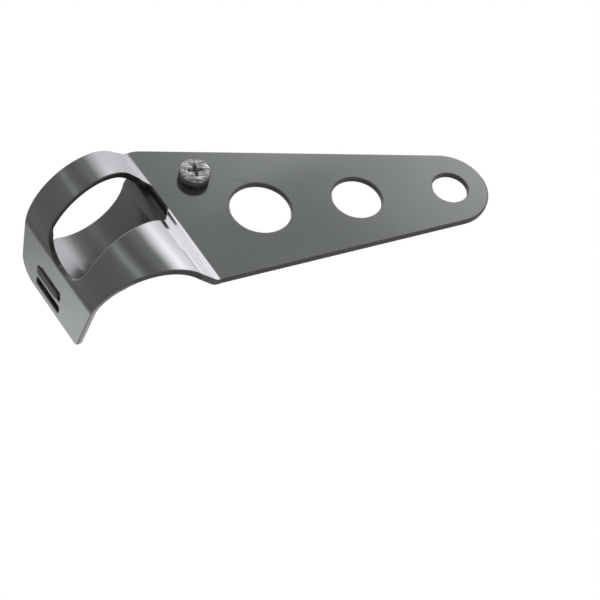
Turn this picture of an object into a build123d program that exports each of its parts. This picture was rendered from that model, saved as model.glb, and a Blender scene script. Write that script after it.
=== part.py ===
"""Headlight bracket for one fork tube: a stamped arm with a clamp strap, a clamp band, a screw and a nut."""
import os
from math import acos, asin, atan2, cos, degrees, radians, sin, sqrt, tan

from build123d import *

# Fork tube and sheet
fork_d = 31.0
sheet_t = 2.0

# Arm plate, which stands beside the tube and drops towards the lamp
plate_face = 6.5
neck_z = -9.8
lamp_x = 101.0
lamp_z = -36.0
arm_taper_angle = 8.0
lamp_hole_d = 11.0
hole_pitch = 30.0
middle_hole_d = 15.2
large_hole_d = 18.4
tip_r = 13.1
tip_setback = 1.3
neck_r = 9.0

# Strap round the outer side of the tube
ramp_angle = 46.0
crease_r = 3.0
neck_fall = 2.9
neck_dip = 0.2
roll_edge_r = 8.0
trim_lag_angle = 3.0
trim_sections = 8
strap_top = 11.5
leaf_length = 21.1
leaf_lean = 2.0
leaf_bottom = -20.5
leaf_top_r = 7.0
leaf_bottom_r = 1.6

# Window in the strap
window_height = 19.0
window_ramp_z = -3.8
window_hook_z = -8.1
window_turn = 57.0
window_crease_gap = 0.3
window_nose_top = 5.5
window_nose_bottom = -6.0
window_nose_top_r = 4.0
window_nose_bottom_r = 3.0
window_ramp_r = 6.0

# Hook slots in the leaf of the strap
slot_count = 2
slot_from_turn = 11.0
slot_pitch = 5.6
slot_z = -3.5
slot_end_gap = 0.7
slot_corner_r = 0.8
slot_side_gap = 0.1

# Clamp band round the inner side of the tube
clamp_height = 24.0
pinch_gap = 1.5
flange_bend_r = 2.0
flange_overhang = 7.0
flange_corner_r = 7.5
shoulder_top = 8.5
shoulder_gap = 1.6
tongue_width = 11.2
tongue_proud = 0.9
tongue_corner_r = 1.0

# Clamp screw and nut
screw_x = 32.0
screw_z = 0.5
screw_d = 5.0
screw_length = 12.0
screw_tip = 0.6
screw_hole_d = 5.5
head_d = 9.3
head_h = 3.5
head_edge_r = 0.9
recess_span = 4.7
recess_width = 1.2
recess_depth = 1.5
recess_taper_angle = 16.0
recess_angle = -20.0
nut_flats = 8.0
nut_h = 4.0
nut_chamfer = 0.6
thread_gap = 0.1

# Radii and angles that follow from the sizes above
fork_r = fork_d / 2
strap_r = fork_r + sheet_t
through = lamp_x + tip_r
ramp_dir = ramp_angle - 90
leaf_dir = -180 - leaf_lean
plate_back = plate_face - sheet_t

# Crease, ramp and tangent line of the strap, as seen along the tube
crease_y = -plate_face - crease_r
ramp_end_y = -plate_face - crease_r * (1 - cos(radians(ramp_angle)))
tangent_x = strap_r * sin(radians(ramp_angle))
tangent_y = -strap_r * cos(radians(ramp_angle))
ramp_end_x = tangent_x + (ramp_end_y - tangent_y) / tan(radians(ramp_angle))
crease_x = ramp_end_x + crease_r * sin(radians(ramp_angle))

# Leaf of the strap: its root, the way it runs and the way it faces
leaf_normal = Vector(cos(radians(leaf_dir)), sin(radians(leaf_dir)))
leaf_run = Vector(leaf_normal.Y, -leaf_normal.X)
leaf_root = leaf_normal * strap_r
leaf_plane = Plane(leaf_root, x_dir=(0, 0, 1), z_dir=leaf_normal)

# Clamp band: where it leaves the tube so that its tongue meets the first slot
mid_r = fork_r + sheet_t / 2
slot_mid = leaf_root + leaf_run * slot_from_turn - leaf_normal * (sheet_t / 2)
tail_run_in = sqrt(slot_mid.length**2 - mid_r**2)
tail_dir = degrees(atan2(slot_mid.Y, slot_mid.X) - acos(mid_r / slot_mid.length))
tail_normal = Vector(cos(radians(tail_dir)), sin(radians(tail_dir)))
tail_run = Vector(-tail_normal.Y, tail_normal.X)
tail_plane = Plane(tail_normal * strap_r, x_dir=(0, 0, 1), z_dir=-tail_normal)
tongue_tilt = tail_run.get_angle(leaf_normal)
wall_run = sheet_t / 2 / cos(radians(tongue_tilt))
shoulder_at = tail_run_in - wall_run - shoulder_gap
tongue_end = tail_run_in + wall_run + tongue_proud
slot_length = tongue_width + 2 * slot_end_gap
slot_width = sheet_t / cos(radians(tongue_tilt)) + sheet_t * tan(radians(tongue_tilt)) + 2 * slot_side_gap

# Flange of the clamp band, which lies behind the plate
flange_front_y = -plate_back + pinch_gap
flange_back_y = flange_front_y + sheet_t
flange_bend_y = flange_back_y + flange_bend_r
flange_bend_x = sqrt((strap_r + flange_bend_r) ** 2 - flange_bend_y**2)
flange_bend = Vector(flange_bend_x, flange_bend_y)
flange_turn = degrees(atan2(flange_bend_y, flange_bend_x))
flange_end_x = screw_x + flange_overhang

# Outline of the arm, as seen on the plate
arm_droop = degrees(atan2(neck_z - lamp_z, lamp_x - crease_x))
tip_x = lamp_x - tip_setback * cos(radians(arm_droop))
tip_z = lamp_z + tip_setback * sin(radians(arm_droop))
top_slope = arm_droop + arm_taper_angle
bottom_slope = arm_droop - arm_taper_angle
tip_top = Vector(tip_x + tip_r * sin(radians(top_slope)), tip_z + tip_r * cos(radians(top_slope)))
tip_bottom = Vector(tip_x - tip_r * sin(radians(bottom_slope)), tip_z - tip_r * cos(radians(bottom_slope)))
neck_top = Vector(crease_x, tip_top.Y + (tip_top.X - crease_x) * tan(radians(top_slope)))
neck_bottom = Vector(crease_x, tip_bottom.Y + (tip_bottom.X - crease_x) * tan(radians(bottom_slope)))
turn_top = Vector(-strap_r, strap_top)
roll_top = Vector(tangent_x, neck_top.Y - neck_fall)
roll_bottom = Vector(tangent_x, neck_bottom.Y - neck_dip)
past_top = turn_top + (turn_top - roll_top) * 0.1
past_bottom = Vector(past_top.X, roll_bottom.Y)
hole_step = Vector(-hole_pitch * cos(radians(arm_droop)), hole_pitch * sin(radians(arm_droop)))

# Lower edge of the strap, which rises from the ramp to the leaf end as one straight line of the flat blank
roll_turn = ramp_angle + 90 + leaf_lean
edge_run = strap_r * radians(roll_turn - trim_lag_angle) + leaf_length
edge_rise = (leaf_bottom - roll_bottom.Y) / edge_run
leaf_root_z = leaf_bottom - edge_rise * leaf_length
trim_step = (roll_turn + trim_lag_angle) / (trim_sections - 1)

# Window: the line where its hook end starts, and the plane that its hook end is punched in
window_r = window_height / 2
window_end_x = -strap_r * sin(radians(window_turn))
ramp_upper = Vector(tangent_x, window_ramp_z + window_r)
ramp_lower = Vector(tangent_x, window_ramp_z - window_r)
nose_upper = Vector(crease_x - window_crease_gap, window_nose_top)
nose_lower = Vector(crease_x - window_crease_gap, window_nose_bottom)
punch_back = asin(window_r / 2 / strap_r)
punch_dir = -90 - window_turn - degrees(punch_back)
punch_normal = Vector(cos(radians(punch_dir)), sin(radians(punch_dir)))
punch_plane = Plane(punch_normal * strap_r, x_dir=(0, 0, 1), z_dir=punch_normal)
punch_start = -window_r / 2

# Tool for the rounded hook end of the window
with BuildPart() as window_end:
    with BuildSketch(punch_plane):
        with Locations((window_hook_z, punch_start)):
            Circle(window_r)
            Rectangle(window_height, strap_r, align=(Align.CENTER, Align.MAX))
    extrude(amount=2 * sheet_t, both=True)
    split(bisect_by=Plane((window_end_x, 0, 0), z_dir=(-1, 0, 0)))

# Tool that trims the rolled strap along its lower edge, square to the sheet all the way round
with BuildPart() as edge_tool:
    for i in range(trim_sections):
        trim_z = leaf_root_z - edge_rise * strap_r * radians(i * trim_step)
        outward = leaf_normal.rotate(Axis.Z, i * trim_step)
        with BuildSketch(Plane((0, 0, 0), x_dir=outward, z_dir=outward.cross(Vector(0, 0, 1)))):
            with Locations((strap_r, trim_z)):
                Rectangle(4 * sheet_t, through, align=(Align.CENTER, Align.MAX))
    loft()

# Arm: one sheet, creased outwards beside the tube and rolled round its outer side
with BuildPart() as lamp_arm:
    with BuildSketch() as section:
        with BuildLine():
            plate_outer = Line((through, -plate_face), (crease_x, -plate_face))
            crease_outer = CenterArc((crease_x, crease_y), crease_r, 90, ramp_angle)
            roll_outer = CenterArc((0, 0), strap_r, ramp_dir, leaf_dir - ramp_dir)
            Line(crease_outer @ 1, roll_outer @ 0)
            leaf_outer = Line(roll_outer @ 1, roll_outer @ 1 + leaf_run * leaf_length)
            plate_inner = Line((through, -plate_back), (crease_x, -plate_back))
            crease_inner = CenterArc((crease_x, crease_y), crease_r + sheet_t, 90, ramp_angle)
            roll_inner = CenterArc((0, 0), fork_r, ramp_dir, leaf_dir - ramp_dir)
            Line(crease_inner @ 1, roll_inner @ 0)
            leaf_inner = Line(roll_inner @ 1, roll_inner @ 1 + leaf_run * leaf_length)
            Line(plate_outer @ 0, plate_inner @ 0)
            Line(leaf_outer @ 1, leaf_inner @ 1)
        make_face()
    extrude(amount=through, both=True)
    # Blank outline
    with BuildSketch(Plane.XZ) as blank:
        with BuildLine():
            CenterArc((tip_x, tip_z), tip_r, 90 - top_slope, -180 + 2 * arm_taper_angle)
            Polyline(tip_top, neck_top, roll_top, past_top,
                     past_bottom, roll_bottom, neck_bottom, tip_bottom)
        make_face()
        fillet(blank.vertices().sort_by_distance(neck_top)[0], neck_r)
        fillet(blank.vertices().sort_by_distance(roll_top)[0], roll_edge_r)
    extrude(amount=through, both=True, mode=Mode.INTERSECT)
    add(edge_tool.part, mode=Mode.SUBTRACT)
    # Holes along the arm, and the screw's hole
    with BuildSketch(Plane.XZ):
        with Locations((lamp_x, lamp_z)):
            Circle(lamp_hole_d / 2)
        with Locations(Vector(lamp_x, lamp_z) + hole_step):
            Circle(middle_hole_d / 2)
        with Locations(Vector(lamp_x, lamp_z) + hole_step * 2):
            Circle(large_hole_d / 2)
        with Locations((screw_x, screw_z)):
            Circle(screw_hole_d / 2)
    extrude(amount=through, both=True, mode=Mode.SUBTRACT)
    # Window over the ramp and the crown, then its hook end
    with BuildSketch(Plane.XZ) as window:
        with BuildLine():
            Polyline((window_end_x, window_hook_z + window_r), ramp_upper, nose_upper,
                     nose_lower, ramp_lower, (window_end_x, window_hook_z - window_r), close=True)
        make_face()
        fillet(window.vertices().sort_by_distance(ramp_upper)[0], window_ramp_r)
        fillet(window.vertices().sort_by_distance(nose_upper)[0], window_nose_top_r)
        fillet(window.vertices().sort_by_distance(nose_lower)[0], window_nose_bottom_r)
        fillet(window.vertices().sort_by_distance(ramp_lower)[0], window_ramp_r)
    extrude(amount=through, mode=Mode.SUBTRACT)
    add(window_end.part, mode=Mode.SUBTRACT)
    # Leaf: tapered lower edge, hook slots and rounded corners
    with BuildSketch(leaf_plane):
        with BuildLine():
            Polyline((leaf_root_z, 0), (leaf_bottom, leaf_length), (leaf_bottom, leaf_length + sheet_t),
                     (-through, leaf_length + sheet_t), (-through, 0), close=True)
        make_face()
        with Locations((slot_z, slot_from_turn)):
            with Locations([(0, i * slot_pitch) for i in range(slot_count)]):
                RectangleRounded(slot_length, slot_width, slot_corner_r)
    extrude(amount=2 * sheet_t, both=True, mode=Mode.SUBTRACT)
    leaf_corners = lamp_arm.faces().sort_by(Axis.Y)[-1].edges().sort_by(SortBy.LENGTH)[:2].sort_by(Axis.Z)
    fillet(leaf_corners[-1], leaf_top_r)
    leaf_corners = lamp_arm.faces().sort_by(Axis.Y)[-1].edges().sort_by(SortBy.LENGTH)[:2].sort_by(Axis.Z)
    fillet(leaf_corners[0], leaf_bottom_r)

# Clamp band: flange behind the plate, roll round the inner side of the tube, tongue through the first slot
with BuildPart() as clamp_band:
    with BuildSketch(Plane.XY) as clamp_section:
        with BuildLine():
            bend_outer = CenterArc(flange_bend, flange_bend_r, -90, flange_turn - 90)
            back_outer = CenterArc((0, 0), strap_r, flange_turn, tail_dir - flange_turn)
            tail_outer = Line(back_outer @ 1, back_outer @ 1 + tail_run * tongue_end)
            flange_outer = Line((flange_end_x, flange_back_y), bend_outer @ 0)
            bend_inner = CenterArc(flange_bend, flange_bend_r + sheet_t, -90, flange_turn - 90)
            back_inner = CenterArc((0, 0), fork_r, flange_turn, tail_dir - flange_turn)
            tail_inner = Line(back_inner @ 1, back_inner @ 1 + tail_run * tongue_end)
            flange_inner = Line((flange_end_x, flange_front_y), bend_inner @ 0)
            Line(flange_outer @ 0, flange_inner @ 0)
            Line(tail_outer @ 1, tail_inner @ 1)
        make_face()
    extrude(amount=clamp_height / 2, both=True)
    fillet(clamp_band.edges().filter_by(Axis.Y).group_by(Axis.X)[-1], flange_corner_r)
    # Shoulders and tongue
    with BuildSketch(tail_plane):
        tongue_top = slot_z + tongue_width / 2
        tongue_bottom = slot_z - tongue_width / 2
        past_end = tongue_end + sheet_t
        with BuildLine():
            Polyline((clamp_height / 2, 0), (shoulder_top, shoulder_at), (tongue_top, shoulder_at),
                     (tongue_top, past_end), (clamp_height, past_end), (clamp_height, 0), close=True)
        make_face()
        with BuildLine():
            Polyline((tongue_bottom, shoulder_at), (tongue_bottom, past_end),
                     (-clamp_height, past_end), (-clamp_height, shoulder_at), close=True)
        make_face()
    extrude(amount=2 * sheet_t, both=True, mode=Mode.SUBTRACT)
    fillet(clamp_band.faces().sort_by(Axis.X)[0].edges().sort_by(SortBy.LENGTH)[:2], tongue_corner_r)
    with BuildSketch(Plane.XZ):
        with Locations((screw_x, screw_z)):
            Circle(screw_hole_d / 2)
    extrude(amount=plate_face, both=True, mode=Mode.SUBTRACT)

# Screw: pan head on the plate, cross recess, plain shank at the thread's outer diameter
head_plane = Plane((screw_x, -plate_face, screw_z), x_dir=(1, 0, 0), z_dir=(0, -1, 0))
with BuildPart() as clamp_screw:
    with BuildSketch(head_plane):
        Circle(head_d / 2)
    extrude(amount=head_h)
    fillet(clamp_screw.faces().sort_by(Axis.Y)[0].edges(), head_edge_r)
    with BuildSketch(head_plane):
        Circle(screw_d / 2)
    extrude(amount=-screw_length)
    chamfer(clamp_screw.faces().sort_by(Axis.Y)[-1].edges(), screw_tip)
    with BuildSketch(head_plane.offset(head_h)):
        Rectangle(recess_span, recess_width, rotation=recess_angle)
        Rectangle(recess_width, recess_span, rotation=recess_angle)
    extrude(amount=-recess_depth, taper=recess_taper_angle, mode=Mode.SUBTRACT)

# Hexagon nut on the back of the flange
nut_corner_r = nut_flats / sqrt(3)
nut_plane = Plane((screw_x, flange_back_y, screw_z), x_dir=(1, 0, 0), z_dir=(0, 1, 0))
with BuildPart() as clamp_nut:
    with BuildSketch(nut_plane):
        RegularPolygon(nut_flats / 2, 6, major_radius=False)
        Circle(screw_d / 2 + thread_gap, mode=Mode.SUBTRACT)
    extrude(amount=nut_h)
    with BuildSketch(Plane(nut_plane.origin, x_dir=(1, 0, 0), z_dir=(0, 0, 1))):
        with BuildLine():
            Polyline((0, 0), (nut_corner_r, 0), (nut_corner_r, nut_h - nut_chamfer),
                     (nut_flats / 2, nut_h), (0, nut_h), close=True)
        make_face()
    revolve(axis=Axis(nut_plane.origin, (0, 1, 0)), mode=Mode.INTERSECT)

os.makedirs("parts", exist_ok=True)
lamp_arm.part.label = "lamp_arm"
export_step(lamp_arm.part, "parts/lamp_arm.step")
clamp_band.part.label = "clamp_band"
export_step(clamp_band.part, "parts/clamp_band.step")
clamp_screw.part.label = "clamp_screw"
export_step(clamp_screw.part, "parts/clamp_screw.step")
clamp_nut.part.label = "clamp_nut"
export_step(clamp_nut.part, "parts/clamp_nut.step")
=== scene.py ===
"""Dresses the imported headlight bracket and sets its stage.

The sheets get rounded rims and black coats, the clamp screw its thread and scuffed plating.
"""
from math import cos, pi, radians, sin, tau

import bmesh
import bpy
from bpy.props import FloatProperty, FloatVectorProperty, IntProperty, PointerProperty
from mathutils import Matrix, Quaternion, Vector


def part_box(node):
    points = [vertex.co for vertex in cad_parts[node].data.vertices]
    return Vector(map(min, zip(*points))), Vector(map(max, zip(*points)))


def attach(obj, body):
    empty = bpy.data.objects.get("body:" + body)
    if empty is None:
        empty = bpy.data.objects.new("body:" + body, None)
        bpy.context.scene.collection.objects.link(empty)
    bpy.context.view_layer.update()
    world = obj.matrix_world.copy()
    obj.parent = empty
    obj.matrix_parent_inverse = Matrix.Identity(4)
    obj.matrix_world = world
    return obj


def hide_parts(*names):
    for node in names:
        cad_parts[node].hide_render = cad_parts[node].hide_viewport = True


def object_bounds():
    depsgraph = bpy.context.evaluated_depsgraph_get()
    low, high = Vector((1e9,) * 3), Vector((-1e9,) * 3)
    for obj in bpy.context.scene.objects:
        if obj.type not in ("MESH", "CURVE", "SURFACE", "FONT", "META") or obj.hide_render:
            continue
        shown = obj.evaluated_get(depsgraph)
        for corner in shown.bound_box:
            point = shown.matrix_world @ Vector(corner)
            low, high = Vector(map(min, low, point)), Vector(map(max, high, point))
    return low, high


bl_info = {
    "name": "Headlight bracket",
    "version": (1, 0, 0),
    "blender": (4, 5, 0),
    "location": "View3D > Sidebar > Bracket",
    "description": "Dresses a fork-tube headlight bracket and sets its stage",
    "category": "Object",
}

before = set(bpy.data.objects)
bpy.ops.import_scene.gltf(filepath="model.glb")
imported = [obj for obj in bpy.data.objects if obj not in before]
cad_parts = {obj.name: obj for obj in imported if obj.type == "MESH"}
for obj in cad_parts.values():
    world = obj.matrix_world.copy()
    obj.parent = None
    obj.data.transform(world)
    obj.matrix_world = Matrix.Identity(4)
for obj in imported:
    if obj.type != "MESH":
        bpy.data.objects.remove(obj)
cad_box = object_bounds()
BODY = "root"

# Corners of a solid nearer than WELD are one, and SLIVER joins what a bevel or a cut leaves.
WELD = 0.00002
SLIVER = WELD / 5

# Faces flatter than FLAT are one face. Edges above SHARP get a rim, on the nut above CORNER.
# Edges below SMOOTH are shaded smooth.
FLAT = radians(0.4)
SHARP = radians(35)
CORNER = radians(52)
SMOOTH = radians(40)

# Where each sheet goes from its roll to its flat part, along X.
ARM_BEND_X = 0.0125
BAND_BEND_X = 0.0185

# How far the normal of a sheared edge may lean towards the sheet's own faces.
ROLL_EDGE_LEAN = 0.4
FLAT_EDGE_LEAN = 0.5

# The end of the tongue looks at least this far along -X.
TIP_LEAN = 0.6

# Below FOOT_TOP_Z and over the stretch FOOT_X, the sheared edges gain back some of their gloss.
FOOT_X = (-0.006, -0.013)
FOOT_TOP_Z = -0.014
FOOT_GLOSS = 0.7

# Noise patterns: scale, detail, roughness, and the levels that become 0 and 1.
PATTERNS = {
    "clouds": (42.0, 3.0, 0.5, 0.35, 0.70),
    "specks": (1500.0, 1.0, 0.5, 0.76, 0.82),
    "patches": (90.0, 2.0, 0.5, 0.52, 0.66),
    "saw marks": (1900.0, 2.0, 0.5, 0.35, 0.65),
    "rubs": (520.0, 3.0, 0.6, 0.40, 0.60),
    "scuffs": (1700.0, 2.0, 0.5, 0.46, 0.58),
}
RIPPLE_NOISE = (620.0, 2.0, 0.45)
GRAIN_NOISE = (2600.0, 3.0, 0.6)
FLOOR_NOISE = (3.0, 2.0, 0.5)

# Shares by which the patterns act on the finishes.
RIPPLE_STRENGTH = 0.12
DUST_SHARE = 0.5
CLOUD_ROUGHNESS = 0.05
WORN_ROUGHNESS = 0.3
SAW_MARK_SHARE = 0.65
COAT_IOR = 1.5
FLOOR_SHADE = 0.98
FLOOR_ROUGHNESS = 0.9
FLOOR_MIRROR = 0.1

# The screw's head is rubbed greyer from its crown down, evenly, in patches and along scuffs.
# The grey fading from the crown down is also painted light on the crown and in the recess, and
# painted shade towards the seat.
RUB_AND_LIGHT_DEPTHS = (0.0028, 0.0006)
EVEN_RUB, PATCH_RUB, SCUFF_RUB = 0.12, 0.4, 0.48
SCUFF_TURN = radians(-59)
SCUFF_STRETCH = 5.0
SCUFF_STRENGTH = 0.45
SCUFF_DEPTH = 0.00006
GRAIN_DEPTH = 0.1
GRAIN_ROUGHNESS = 0.12
PLATED_METAL, RUBBED_METAL = 0.1, 0.8

# One turn of the thread: share of its depth and share of its pitch. The winding starts some
# pitches before the seat and runs on past the tip, and is then cut to length.
THREAD_OUTLINE = ((0.0, 0.0), (0.0, 0.12), (1.0, 0.5), (1.0, 0.62), (0.0, 1.0))
THREAD_LEAD = 1.5
SPARE_TURNS = 3

# The head's rim lies beyond this share of its radius, and the bare shank this far past the seat.
HEAD_EDGE = 0.98
SHANK_CLEAR = 0.002

WHITE = (1.0, 1.0, 1.0)
BLACK = (0.0, 0.0, 0.0)


class Sock:
    """One output of a node, on which values are worked out with Python's own operators."""

    def __init__(self, graph, socket):
        self.graph = graph
        self.socket = socket

    def maths(self, operation, *values):
        """A Math node on some values."""
        return self.graph.node("ShaderNodeMath", {"operation": operation}, dict(enumerate(values)))

    def __add__(self, other):
        return self.maths("ADD", self, other)

    def __radd__(self, other):
        return self.maths("ADD", other, self)

    def __sub__(self, other):
        return self.maths("SUBTRACT", self, other)

    def __rsub__(self, other):
        return self.maths("SUBTRACT", other, self)

    def __mul__(self, other):
        return self.maths("MULTIPLY", self, other)

    def __rmul__(self, other):
        return self.maths("MULTIPLY", other, self)

    def __gt__(self, other):
        return self.maths("GREATER_THAN", self, other)

    def __lt__(self, other):
        return self.maths("LESS_THAN", self, other)

    def __or__(self, other):
        return self.maths("MAXIMUM", self, other)

    def __and__(self, other):
        return self.maths("MINIMUM", self, other)

    def __abs__(self):
        return self.maths("ABSOLUTE", self)


class Graph:
    """The node tree of a material or of the world."""

    def __init__(self, tree):
        self.tree = tree
        self.tree.nodes.clear()

    def node(self, kind, settings=None, sockets=None, output=0):
        """Adds a node: its settings first, then the values or links of its sockets."""
        made = self.tree.nodes.new(kind)
        for name, value in (settings or {}).items():
            setattr(made, name, value)
        for name, value in (sockets or {}).items():
            if isinstance(value, Sock):
                self.tree.links.new(value.socket, made.inputs[name])
            else:
                made.inputs[name].default_value = value
        return Sock(self, made.outputs[output]) if made.outputs else None

    def place(self):
        """Object coordinates."""
        return self.node("ShaderNodeTexCoord", output="Object")

    def parts(self, vector):
        """The X, Y and Z values of a vector."""
        return [self.node("ShaderNodeSeparateXYZ", None, {"Vector": vector}, output=axis)
                for axis in "XYZ"]

    def mixed(self, share, first, second):
        """A colour between two colours."""
        colours = [c if isinstance(c, Sock) else (*c, 1.0) for c in (first, second)]
        sockets = {0: share, 6: colours[0], 7: colours[1]}
        return self.node("ShaderNodeMix", {"data_type": "RGBA"}, sockets, output=2)

    def noise(self, place, scale, detail, roughness):
        """A noise value about 0.5."""
        sizes = {"Vector": place, "Scale": scale, "Detail": detail, "Roughness": roughness}
        return self.node("ShaderNodeTexNoise", {"noise_dimensions": "3D"}, sizes)

    def spread(self, value, low, high):
        """A value taken from low and high to 0 and 1, smoothly, and held there."""
        sockets = {"Value": value, "From Min": low, "From Max": high}
        return self.node("ShaderNodeMapRange", {"interpolation_type": "SMOOTHSTEP"}, sockets)

    def pattern(self, place, name):
        """One of the noise patterns, from 0 to 1."""
        scale, detail, roughness, low, high = PATTERNS[name]
        return self.spread(self.noise(place, scale, detail, roughness), low, high)

    def through(self, value, stops):
        """A colour that runs through stops, each a place from 0 to 1 and a colour."""
        colour = self.node("ShaderNodeValToRGB", None, {"Fac": value})
        ramp = colour.socket.node.color_ramp
        for _ in stops[2:]:
            ramp.elements.new(0.5)
        for element, (place, shade) in zip(ramp.elements, stops):
            element.position = place
            element.color = (*shade, 1.0)
        return colour

    def surface(self, shader):
        """Links a shader to the material's output."""
        self.node("ShaderNodeOutputMaterial", None, {"Surface": shader})


def new_material(name):
    """A material and its empty graph."""
    material = bpy.data.materials.new(name)
    material.use_nodes = True
    return material, Graph(material.node_tree)


class SheetFinish(bpy.types.PropertyGroup):
    """Black coat of the bent sheets."""

    rim: FloatProperty(
        name="Rim", description="Radius of the sheet's rims", default=0.0004, unit="LENGTH")
    rim_steps: IntProperty(name="Rim steps", description="Facets across a rim", default=3)
    coat: FloatVectorProperty(
        name="Coat", description="Colour of the coat", subtype="COLOR",
        default=(0.012, 0.0125, 0.0125))
    cloud: FloatVectorProperty(
        name="Cloud", description="Paler tone that clouds the coat", subtype="COLOR",
        default=(0.020, 0.021, 0.0205))
    edge: FloatVectorProperty(
        name="Sheared edge", description="Colour on the sheared edges", subtype="COLOR",
        default=(0.010, 0.010, 0.0098))
    bare: FloatVectorProperty(
        name="Bare tip", description="Colour where the tongue's tip is bare", subtype="COLOR",
        default=(0.085, 0.085, 0.084))
    dust: FloatVectorProperty(
        name="Dust", description="Colour of specks of dust", subtype="COLOR",
        default=(0.10, 0.10, 0.10))
    edge_wear: FloatProperty(
        name="Edge wear", description="Share of the gloss that the sheared edges lack",
        default=0.85)
    roughness: FloatProperty(
        name="Roughness", description="Roughness under the gloss", default=0.16)
    gloss: FloatProperty(
        name="Gloss", description="Roughness of the gloss on the arm", default=0.05)
    band_gloss: FloatProperty(
        name="Band gloss", description="Roughness of the gloss on the band", default=0.4)
    depth: FloatProperty(
        name="Depth", description="Mirror strength under the gloss", default=0.25)
    tip: FloatProperty(
        name="Tip", description="Length of the tongue's bare tip", default=0.0011, unit="LENGTH")
    ripple: FloatProperty(
        name="Ripple", description="Height of the coat's ripple", default=0.000004,
        unit="LENGTH")


class ScrewFinish(bpy.types.PropertyGroup):
    """Clamp screw and nut."""

    rim: FloatProperty(
        name="Rim", description="Radius of the rims", default=0.00018, unit="LENGTH")
    rim_steps: IntProperty(name="Rim steps", description="Facets across a rim", default=2)
    pitch: FloatProperty(
        name="Pitch", description="Pitch of the thread", default=0.001, unit="LENGTH")
    thread_depth: FloatProperty(
        name="Thread depth", description="Crest to root", default=0.00055, unit="LENGTH")
    thread_steps: IntProperty(
        name="Thread steps", description="Facets in a turn of the thread", default=40)
    plating: FloatVectorProperty(
        name="Plating", description="Black plating", subtype="COLOR",
        default=(0.016, 0.016, 0.0155))
    rubbed: FloatVectorProperty(
        name="Rubbed", description="Plating where it is rubbed", subtype="COLOR",
        default=(0.30, 0.30, 0.285))
    roughness: FloatProperty(
        name="Roughness", description="Roughness of the plating", default=0.22)


class Stage(bpy.types.PropertyGroup):
    """Floor, light and camera."""

    floor_z: FloatProperty(
        name="Floor height", description="Height of the floor", default=-0.46, unit="LENGTH")
    floor_reach: FloatProperty(
        name="Floor reach", description="Half of the floor's side", default=7.0, unit="LENGTH")
    floor: FloatVectorProperty(
        name="Floor", description="Colour of the floor", subtype="COLOR",
        default=(0.86, 0.86, 0.86))
    fill: FloatProperty(
        name="Fill", description="Light of the room on matt surfaces", default=0.85)
    wall_r: FloatProperty(
        name="Wall radius", description="Radius of the light wall", default=1.3, unit="LENGTH")
    wall_low: FloatProperty(
        name="Wall foot", description="Height of the wall's lower edge", default=0.45,
        unit="LENGTH")
    wall_high: FloatProperty(
        name="Wall top", description="Height of the wall's upper edge", default=1.15,
        unit="LENGTH")
    fade_from: FloatProperty(
        name="Fade from", description="Height at which the wall's foot starts to fade",
        default=0.68, unit="LENGTH")
    fade_to: FloatProperty(
        name="Fade to", description="Height at which the wall's top light is reached",
        default=0.82, unit="LENGTH")
    cool: FloatVectorProperty(
        name="Cool light", description="Colour of the wall's brightest part", subtype="COLOR",
        default=(0.945, 0.955, 1.0))
    green: FloatVectorProperty(
        name="Green light", description="Colour of the wall's dim side", subtype="COLOR",
        default=(0.93, 1.0, 0.97))
    camera_place: FloatVectorProperty(
        name="Camera", description="Place of the camera", subtype="XYZ", unit="LENGTH",
        default=(-0.216415, -0.429026, -0.280021))
    camera_turn: FloatVectorProperty(
        name="Camera turn", description="Turn of the camera", subtype="QUATERNION", size=4,
        default=(0.444776, 0.841839, 0.049556, -0.301703))
    lens: FloatProperty(
        name="Lens", description="Focal length in millimetres", default=115.626)


def everything(bm):
    """All the geometry of a bmesh."""
    return bm.verts[:] + bm.edges[:] + bm.faces[:]


def cut_edges(cut):
    """The edges that a cut by a plane has left on that plane."""
    return [part for part in cut["geom_cut"] if isinstance(part, bmesh.types.BMEdge)]


def rounded_copy(node, rim, steps, sharp=SHARP):
    """A merged copy of a node's solid with its sharp rims rounded."""
    bm = bmesh.new()
    bm.from_mesh(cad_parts[node].data)
    bmesh.ops.remove_doubles(bm, verts=bm.verts[:], dist=WELD)
    bmesh.ops.dissolve_degenerate(bm, dist=WELD / 2, edges=bm.edges[:])
    bmesh.ops.dissolve_limit(
        bm, angle_limit=FLAT, use_dissolve_boundaries=False, verts=bm.verts[:], edges=bm.edges[:])
    rims = [edge for edge in bm.edges if edge.is_manifold and edge.calc_face_angle() > sharp]
    bmesh.ops.bevel(
        bm, geom=rims, offset=rim, offset_type="OFFSET", segments=steps, profile=0.5,
        affect="EDGES", clamp_overlap=False, material=-1)
    bmesh.ops.remove_doubles(bm, verts=bm.verts[:], dist=SLIVER)
    bmesh.ops.dissolve_degenerate(bm, dist=SLIVER, edges=bm.edges[:])
    return bm


def finished(bm, name, material, node):
    """Makes a piece of a bmesh, which stands for a node and rides with the bracket."""
    mesh = bpy.data.meshes.new(name)
    bm.to_mesh(mesh)
    bm.free()
    mesh.shade_smooth()
    mesh.set_sharp_from_angle(angle=SMOOTH)
    mesh.materials.append(material)
    piece = bpy.data.objects.new(name, mesh)
    bpy.context.scene.collection.objects.link(piece)
    weigh = piece.modifiers.new("flat faces", "WEIGHTED_NORMAL")
    weigh.keep_sharp = True
    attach(piece, BODY)
    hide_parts(node)


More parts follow.
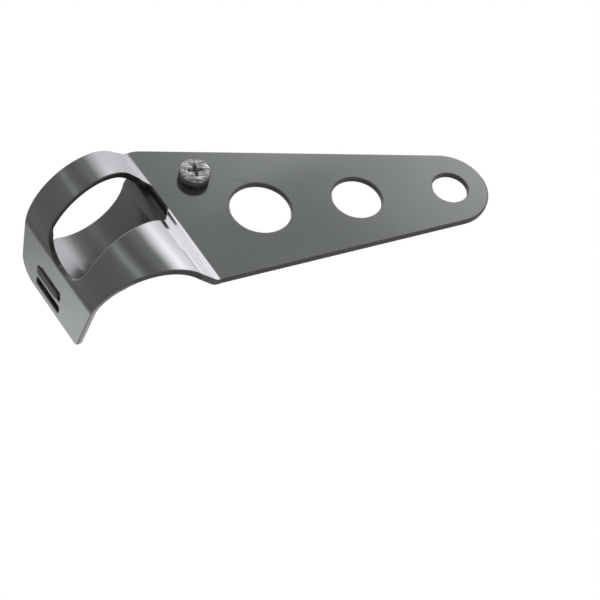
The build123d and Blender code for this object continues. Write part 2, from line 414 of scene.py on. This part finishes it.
def black_coat(name, finish, gloss, bend_x, tip_x=None):
    """Black coat with faint clouds, ripple and dust, thinner on the sheared edges.

    A sheet with a tongue is bare at the tongue's tip, which ends beyond tip_x.
    """
    material, graph = new_material(name)
    place = graph.place()
    x, y, z = graph.parts(place)
    nx, ny = graph.parts(graph.node("ShaderNodeNewGeometry", output="Normal"))[:2]
    reach = x.maths("SQRT", x * x + y * y)
    across_roll = (x < bend_x) & (abs(nx * x + ny * y) < reach * ROLL_EDGE_LEAN)
    across_plate = (x > bend_x) & (abs(ny) < FLAT_EDGE_LEAN)
    across_leaf = (y > 0) & (abs(nx) < FLAT_EDGE_LEAN)
    if tip_x is None:
        sheared = (across_roll & (y < 0)) | across_plate | across_leaf
    else:
        sheared = across_roll | across_plate

    clouds = graph.pattern(place, "clouds")
    dust = graph.pattern(place, "specks") * graph.pattern(place, "patches") * DUST_SHARE
    foot = graph.spread(x, *FOOT_X) * (z < FOOT_TOP_Z)
    wear = sheared * (1 - foot * FOOT_GLOSS) * finish.edge_wear | dust
    colour = graph.mixed(clouds, tuple(finish.coat), tuple(finish.cloud))
    colour = graph.mixed(sheared, colour, tuple(finish.edge))
    colour = graph.mixed(dust, colour, tuple(finish.dust))
    if tip_x is not None:
        tip = (x < tip_x) & (nx < -TIP_LEAN)
        marks = graph.pattern(place, "saw marks") * SAW_MARK_SHARE
        colour = graph.mixed(tip * (1 - SAW_MARK_SHARE + marks), colour, tuple(finish.bare))
        wear = wear | tip

    bump = graph.node("ShaderNodeBump", None, {
        "Strength": RIPPLE_STRENGTH, "Distance": finish.ripple,
        "Height": graph.noise(place, *RIPPLE_NOISE)})
    graph.surface(graph.node("ShaderNodeBsdfPrincipled", None, {
        "Base Color": colour,
        "Roughness": finish.roughness + clouds * CLOUD_ROUGHNESS + wear * WORN_ROUGHNESS,
        "IOR": COAT_IOR, "Specular IOR Level": finish.depth, "Normal": bump,
        "Coat Weight": 1 - wear, "Coat Roughness": gloss, "Coat IOR": COAT_IOR}))
    return material


def black_plating(finish, head_y):
    """Black plating, rubbed and scuffed greyer on the crown of the screw's head, partly as wear and
    partly as painted light fading to painted shade towards the seat.
    """
    material, graph = new_material("black plating")
    place = graph.place()
    y = graph.parts(place)[1]
    # Painted light: the grey is strongest on the crown, still shows in the recess, and fades down
    # the side to painted shade at the seat.
    crown_rub_and_light = graph.spread(y, *(head_y + depth for depth in RUB_AND_LIGHT_DEPTHS))
    rubs = graph.pattern(place, "rubs")
    along = graph.node("ShaderNodeMapping", {"vector_type": "TEXTURE"}, {
        "Vector": place, "Rotation": (0.0, SCUFF_TURN, 0.0), "Scale": (1.0, 1.0, SCUFF_STRETCH)})
    scuffs = graph.pattern(along, "scuffs")
    grain = graph.noise(place, *GRAIN_NOISE)
    bare = crown_rub_and_light * (EVEN_RUB + rubs * PATCH_RUB + scuffs * SCUFF_RUB)
    bump = graph.node("ShaderNodeBump", None, {
        "Strength": SCUFF_STRENGTH, "Distance": SCUFF_DEPTH,
        "Height": grain * GRAIN_DEPTH + rubs + scuffs})
    graph.surface(graph.node("ShaderNodeBsdfPrincipled", None, {
        "Base Color": graph.mixed(bare, tuple(finish.plating), tuple(finish.rubbed)),
        "Roughness": finish.roughness + grain * GRAIN_ROUGHNESS,
        "Metallic": PLATED_METAL + bare * RUBBED_METAL, "IOR": COAT_IOR, "Normal": bump}))
    return material


def pale_floor(colour):
    """Plain pale floor with a barely uneven tone."""
    material, graph = new_material("pale floor")
    tone = graph.noise(graph.place(), *FLOOR_NOISE)
    shade = tuple(c * FLOOR_SHADE for c in colour)
    graph.surface(graph.node("ShaderNodeBsdfPrincipled", None, {
        "Base Color": graph.mixed(tone, shade, tuple(colour)),
        "Roughness": FLOOR_ROUGHNESS, "Specular IOR Level": FLOOR_MIRROR}))
    return material


class BRACKET_OT_dress_arm(bpy.types.Operator):
    """Lamp arm: one bent sheet with rounded rims and a gloss black coat"""

    bl_idname = "bracket.dress_arm"
    bl_label = "Lamp arm"

    def execute(self, context):
        finish = context.scene.bracket_sheet
        bm = rounded_copy("lamp_arm", finish.rim, finish.rim_steps)
        material = black_coat("arm coat", finish, finish.gloss, ARM_BEND_X)
        finished(bm, "arm_sheet", material, "lamp_arm")
        return {"FINISHED"}


class BRACKET_OT_dress_band(bpy.types.Operator):
    """Clamp band: one bent sheet with rounded rims and a satin black coat"""

    bl_idname = "bracket.dress_band"
    bl_label = "Clamp band"

    def execute(self, context):
        finish = context.scene.bracket_sheet
        bm = rounded_copy("clamp_band", finish.rim, finish.rim_steps)
        tip_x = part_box("clamp_band")[0].x + finish.tip
        material = black_coat("band coat", finish, finish.band_gloss, BAND_BEND_X, tip_x)
        finished(bm, "band_sheet", material, "clamp_band")
        return {"FINISHED"}


class BRACKET_OT_make_screw(bpy.types.Operator):
    """Clamp screw with a rolled thread, and its nut"""

    bl_idname = "bracket.make_screw"
    bl_label = "Clamp screw and nut"

    def execute(self, context):
        finish = context.scene.bracket_screw
        low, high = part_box("clamp_screw")
        centre = (low + high) / 2
        seat, crest = self.measured(centre)
        material = black_plating(finish, low.y)
        screw = rounded_copy("clamp_screw", finish.rim, finish.rim_steps)
        cut = bmesh.ops.bisect_plane(
            screw, geom=everything(screw), dist=SLIVER, plane_co=(0, seat, 0), plane_no=(0, 1, 0),
            clear_outer=True)
        bmesh.ops.holes_fill(screw, edges=cut_edges(cut), sides=0)
        self.add_thread(screw, finish, centre, crest, seat, high.y)
        finished(screw, "screw_threaded", material, "clamp_screw")
        nut = rounded_copy("clamp_nut", finish.rim, finish.rim_steps, CORNER)
        finished(nut, "nut_rounded", material, "clamp_nut")
        return {"FINISHED"}

    @staticmethod
    def measured(centre):
        """Where the head's seat is along the screw, and the radius of the shank."""
        corners = [v.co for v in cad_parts["clamp_screw"].data.vertices]
        edge = max((c.xz - centre.xz).length for c in corners)
        seat = max(c.y for c in corners if (c.xz - centre.xz).length > HEAD_EDGE * edge)
        crest = max((c.xz - centre.xz).length for c in corners if c.y > seat + SHANK_CLEAR)
        return seat, crest

    @staticmethod
    def add_thread(bm, finish, centre, crest, seat, tip):
        """Winds the thread's outline along the shank, then trims it at the seat and the tip."""
        pitch = finish.pitch
        root = crest - finish.thread_depth
        turns = int((tip - seat) / pitch) + SPARE_TURNS
        thread = bmesh.new()
        corners = [
            thread.verts.new((
                centre.x + root + rise * finish.thread_depth,
                seat - pitch * (THREAD_LEAD - share),
                centre.z))
            for rise, share in THREAD_OUTLINE]
        edges = [thread.edges.new(pair) for pair in zip(corners, corners[1:])]
        bmesh.ops.spin(
            thread, geom=corners + edges, cent=centre, axis=(0, 1, 0),
            dvec=(0, pitch / finish.thread_steps, 0), angle=tau * turns,
            steps=finish.thread_steps * turns, use_merge=False, use_duplicate=False)
        bmesh.ops.remove_doubles(thread, verts=thread.verts[:], dist=WELD / 4)
        for height, way in ((seat, -1), (tip, 1)):
            cut = bmesh.ops.bisect_plane(
                thread, geom=everything(thread), plane_co=(0, height, 0), plane_no=(0, way, 0),
                clear_outer=True)
            bmesh.ops.contextual_create(thread, geom=cut_edges(cut))
        bmesh.ops.remove_doubles(thread, verts=thread.verts[:], dist=WELD)
        bmesh.ops.dissolve_degenerate(thread, dist=WELD, edges=thread.edges[:])
        bmesh.ops.recalc_face_normals(thread, faces=thread.faces[:])
        wound = bpy.data.meshes.new("thread")
        thread.to_mesh(wound)
        thread.free()
        bm.from_mesh(wound)
        bpy.data.meshes.remove(wound)


class BRACKET_OT_set_stage(bpy.types.Operator):
    """Pale floor, a soft wall and panel of light, and the camera"""

    bl_idname = "bracket.set_stage"
    bl_label = "Stage"

    # Turn in degrees, level at the wall's foot, share of it at the top, tint from green to cool.
    wall_levels = (
        (-172, 1.25, 0.53, 0.6), (-160, 1.25, 0.53, 0.6), (-154, 0.75, 0.75, 0.5),
        (-148, 0.38, 1.0, 0.0), (-141, 0.42, 1.0, 0.0), (-130, 0.68, 1.0, 0.0),
        (-112, 0.88, 1.0, 0.0), (-92, 1.0, 1.0, 0.0), (-60, 1.13, 1.0, 0.0),
        (-42, 1.25, 1.0, 0.0), (-31, 1.5, 0.9, 0.0), (-20, 3.4, 0.68, 0.0),
        (-12, 1.95, 0.75, 0.0), (-4, 1.15, 1.0, 0.0), (4, 1.1, 1.0, 0.0),
        (12, 1.35, 1.0, 0.1), (21, 1.7, 1.0, 0.3), (30, 1.8, 1.0, 0.4),
        (36, 3.6, 0.85, 0.6), (44, 7.0, 0.62, 0.8), (52, 9.0, 0.54, 1.0),
        (60, 9.7, 0.55, 1.0), (68, 7.6, 0.58, 1.0), (76, 5.4, 0.72, 1.0),
        (90, 3.2, 0.87, 1.0), (105, 1.85, 0.95, 1.0), (118, 1.2, 1.0, 1.0),
        (130, 0.7, 1.0, 1.0), (140, 0.35, 1.0, 1.0), (165, 0.3, 1.0, 1.0),
        (172, 0.6, 1.0, 0.5),
    )
    wall_steps = 120

    # The light of the wall's foot is turned by the lean, which runs out between two heights.
    wall_lean = radians(5)
    lean_heights = (0.64, 0.70)

    floor_squares = 8

    panel_way = Vector((0.15, -0.3, 1.0))
    panel_distance = 1.3
    panel_side = 1.0
    panel_brightness = 1.2

    sensor = 36.0
    clip_start, clip_end = 0.01, 50.0

    def execute(self, context):
        stage = context.scene.bracket_stage
        context.scene.view_settings.view_transform = "Standard"
        self.lay_floor(context, stage)
        self.light_room(context, stage)
        self.raise_wall(context, stage)
        self.hang_panel(context)
        self.place_camera(context, stage)
        return {"FINISHED"}

    @staticmethod
    def put(context, bm, name, material):
        """Makes a part of the stage of a bmesh."""
        mesh = bpy.data.meshes.new(name)
        bm.to_mesh(mesh)
        bm.free()
        mesh.materials.append(material)
        part = bpy.data.objects.new(name, mesh)
        context.scene.collection.objects.link(part)
        return part

    def lay_floor(self, context, stage):
        """A wide level floor."""
        bm = bmesh.new()
        squares = self.floor_squares
        bmesh.ops.create_grid(bm, x_segments=squares, y_segments=squares, size=stage.floor_reach)
        bmesh.ops.translate(bm, verts=bm.verts[:], vec=(0, 0, stage.floor_z))
        self.put(context, bm, "floor", pale_floor(stage.floor))

    @staticmethod
    def light_room(context, stage):
        """White room for the camera and for reflections, and an even fill on matt surfaces."""
        world = bpy.data.worlds.new("white room")
        world.use_nodes = True
        context.scene.world = world
        graph = Graph(world.node_tree)
        camera, glossy, through = [
            graph.node("ShaderNodeLightPath", output=name)
            for name in ("Is Camera Ray", "Is Glossy Ray", "Is Transmission Ray")]
        seen = camera | glossy | through
        fill, bright = [
            graph.node("ShaderNodeBackground", None, {"Color": (*WHITE, 1.0), "Strength": strength})
            for strength in (stage.fill, 1.0)]
        room = graph.node("ShaderNodeMixShader", None, {0: seen, 1: fill, 2: bright})
        graph.node("ShaderNodeOutputWorld", None, {"Surface": room})

    def raise_wall(self, context, stage):
        """A curved wall of soft light, which the camera does not see."""
        first, last = [radians(row[0]) for row in (self.wall_levels[0], self.wall_levels[-1])]
        bm = bmesh.new()
        ends = [bm.verts.new((stage.wall_r * sin(first), -stage.wall_r * cos(first), z))
                for z in (stage.wall_low, stage.wall_high)]
        bmesh.ops.spin(
            bm, geom=ends + [bm.edges.new(ends)], cent=(0, 0, 0), axis=(0, 0, 1),
            angle=last - first, steps=self.wall_steps, use_merge=False, use_duplicate=False)
        wall = self.put(context, bm, "light wall", self.wall_light(stage, first, last))
        wall.visible_camera = False

    def wall_light(self, stage, first, last):
        """Light whose level and tint change along the wall and from its foot to its top."""
        peak = max(row[1] for row in self.wall_levels)
        foot, top = [], []
        for turn, level, kept, tint in self.wall_levels:
            place = (radians(turn) - first) / (last - first)
            shade = Vector(stage.green).lerp(Vector(stage.cool), tint) * level / peak
            foot.append((place, tuple(shade)))
            top.append((place, tuple(shade * kept)))
        material, graph = new_material("light wall")
        x, y, z = graph.parts(graph.place())
        angle = x.maths("ARCTAN2", x, 0 - y)
        lean = self.wall_lean * (1 - graph.spread(z, *self.lean_heights))
        share = (angle - lean - first) * (1 / (last - first))
        rise = graph.spread(z, stage.fade_from, stage.fade_to)
        light = graph.mixed(rise, graph.through(share, foot), graph.through(share, top))
        graph.surface(graph.node("ShaderNodeBsdfPrincipled", None, {
            "Base Color": (*BLACK, 1.0), "Specular IOR Level": 0.0,
            "Emission Color": light, "Emission Strength": peak}))
        return material

    def hang_panel(self, context):
        """A soft square panel above, which looks at the bracket."""
        lamp = bpy.data.lights.new("top panel", "AREA")
        lamp.shape = "RECTANGLE"
        lamp.size = lamp.size_y = self.panel_side
        lamp.energy = self.panel_brightness * pi * self.panel_side ** 2
        lamp.color = WHITE
        panel = bpy.data.objects.new("top panel", lamp)
        middle = (cad_box[0] + cad_box[1]) / 2
        way = self.panel_way.normalized()
        turn = way.to_track_quat("Z", "Y").to_matrix().to_4x4()
        panel.matrix_world = Matrix.Translation(middle + way * self.panel_distance) @ turn
        panel.visible_camera = False
        context.scene.collection.objects.link(panel)

    def place_camera(self, context, stage):
        """The camera at the photograph's angle."""
        view = bpy.data.cameras.new("camera")
        view.sensor_width = self.sensor
        view.lens = stage.lens
        view.clip_start = self.clip_start
        view.clip_end = self.clip_end
        camera = bpy.data.objects.new("camera", view)
        turn = Quaternion(stage.camera_turn).to_matrix().to_4x4()
        camera.matrix_world = Matrix.Translation(stage.camera_place) @ turn
        context.scene.collection.objects.link(camera)
        context.scene.camera = camera


class BRACKET_PT_sidebar(bpy.types.Panel):
    """Pieces of the bracket and its stage"""

    bl_label = "Headlight bracket"
    bl_space_type = "VIEW_3D"
    bl_region_type = "UI"
    bl_category = "Bracket"

    def draw(self, context):
        for operator in OPERATORS:
            self.layout.operator(operator.bl_idname)
        for name in GROUPS:
            group = getattr(context.scene, name)
            box = self.layout.box()
            for value in group.bl_rna.properties.keys():
                if value not in ("rna_type", "name"):
                    box.prop(group, value)


GROUPS = {"bracket_sheet": SheetFinish, "bracket_screw": ScrewFinish, "bracket_stage": Stage}
OPERATORS = (
    BRACKET_OT_dress_arm, BRACKET_OT_dress_band, BRACKET_OT_make_screw, BRACKET_OT_set_stage)
CLASSES = (*GROUPS.values(), *OPERATORS, BRACKET_PT_sidebar)


def register():
    for cls in CLASSES:
        bpy.utils.register_class(cls)
    for name, group in GROUPS.items():
        setattr(bpy.types.Scene, name, PointerProperty(type=group))


def unregister():
    for name in GROUPS:
        delattr(bpy.types.Scene, name)
    for cls in reversed(CLASSES):
        bpy.utils.unregister_class(cls)


def main():
    register()
    bpy.ops.bracket.dress_arm()
    bpy.ops.bracket.dress_band()
    bpy.ops.bracket.make_screw()
    bpy.ops.bracket.set_stage()


if __name__ == "__main__":
    main()
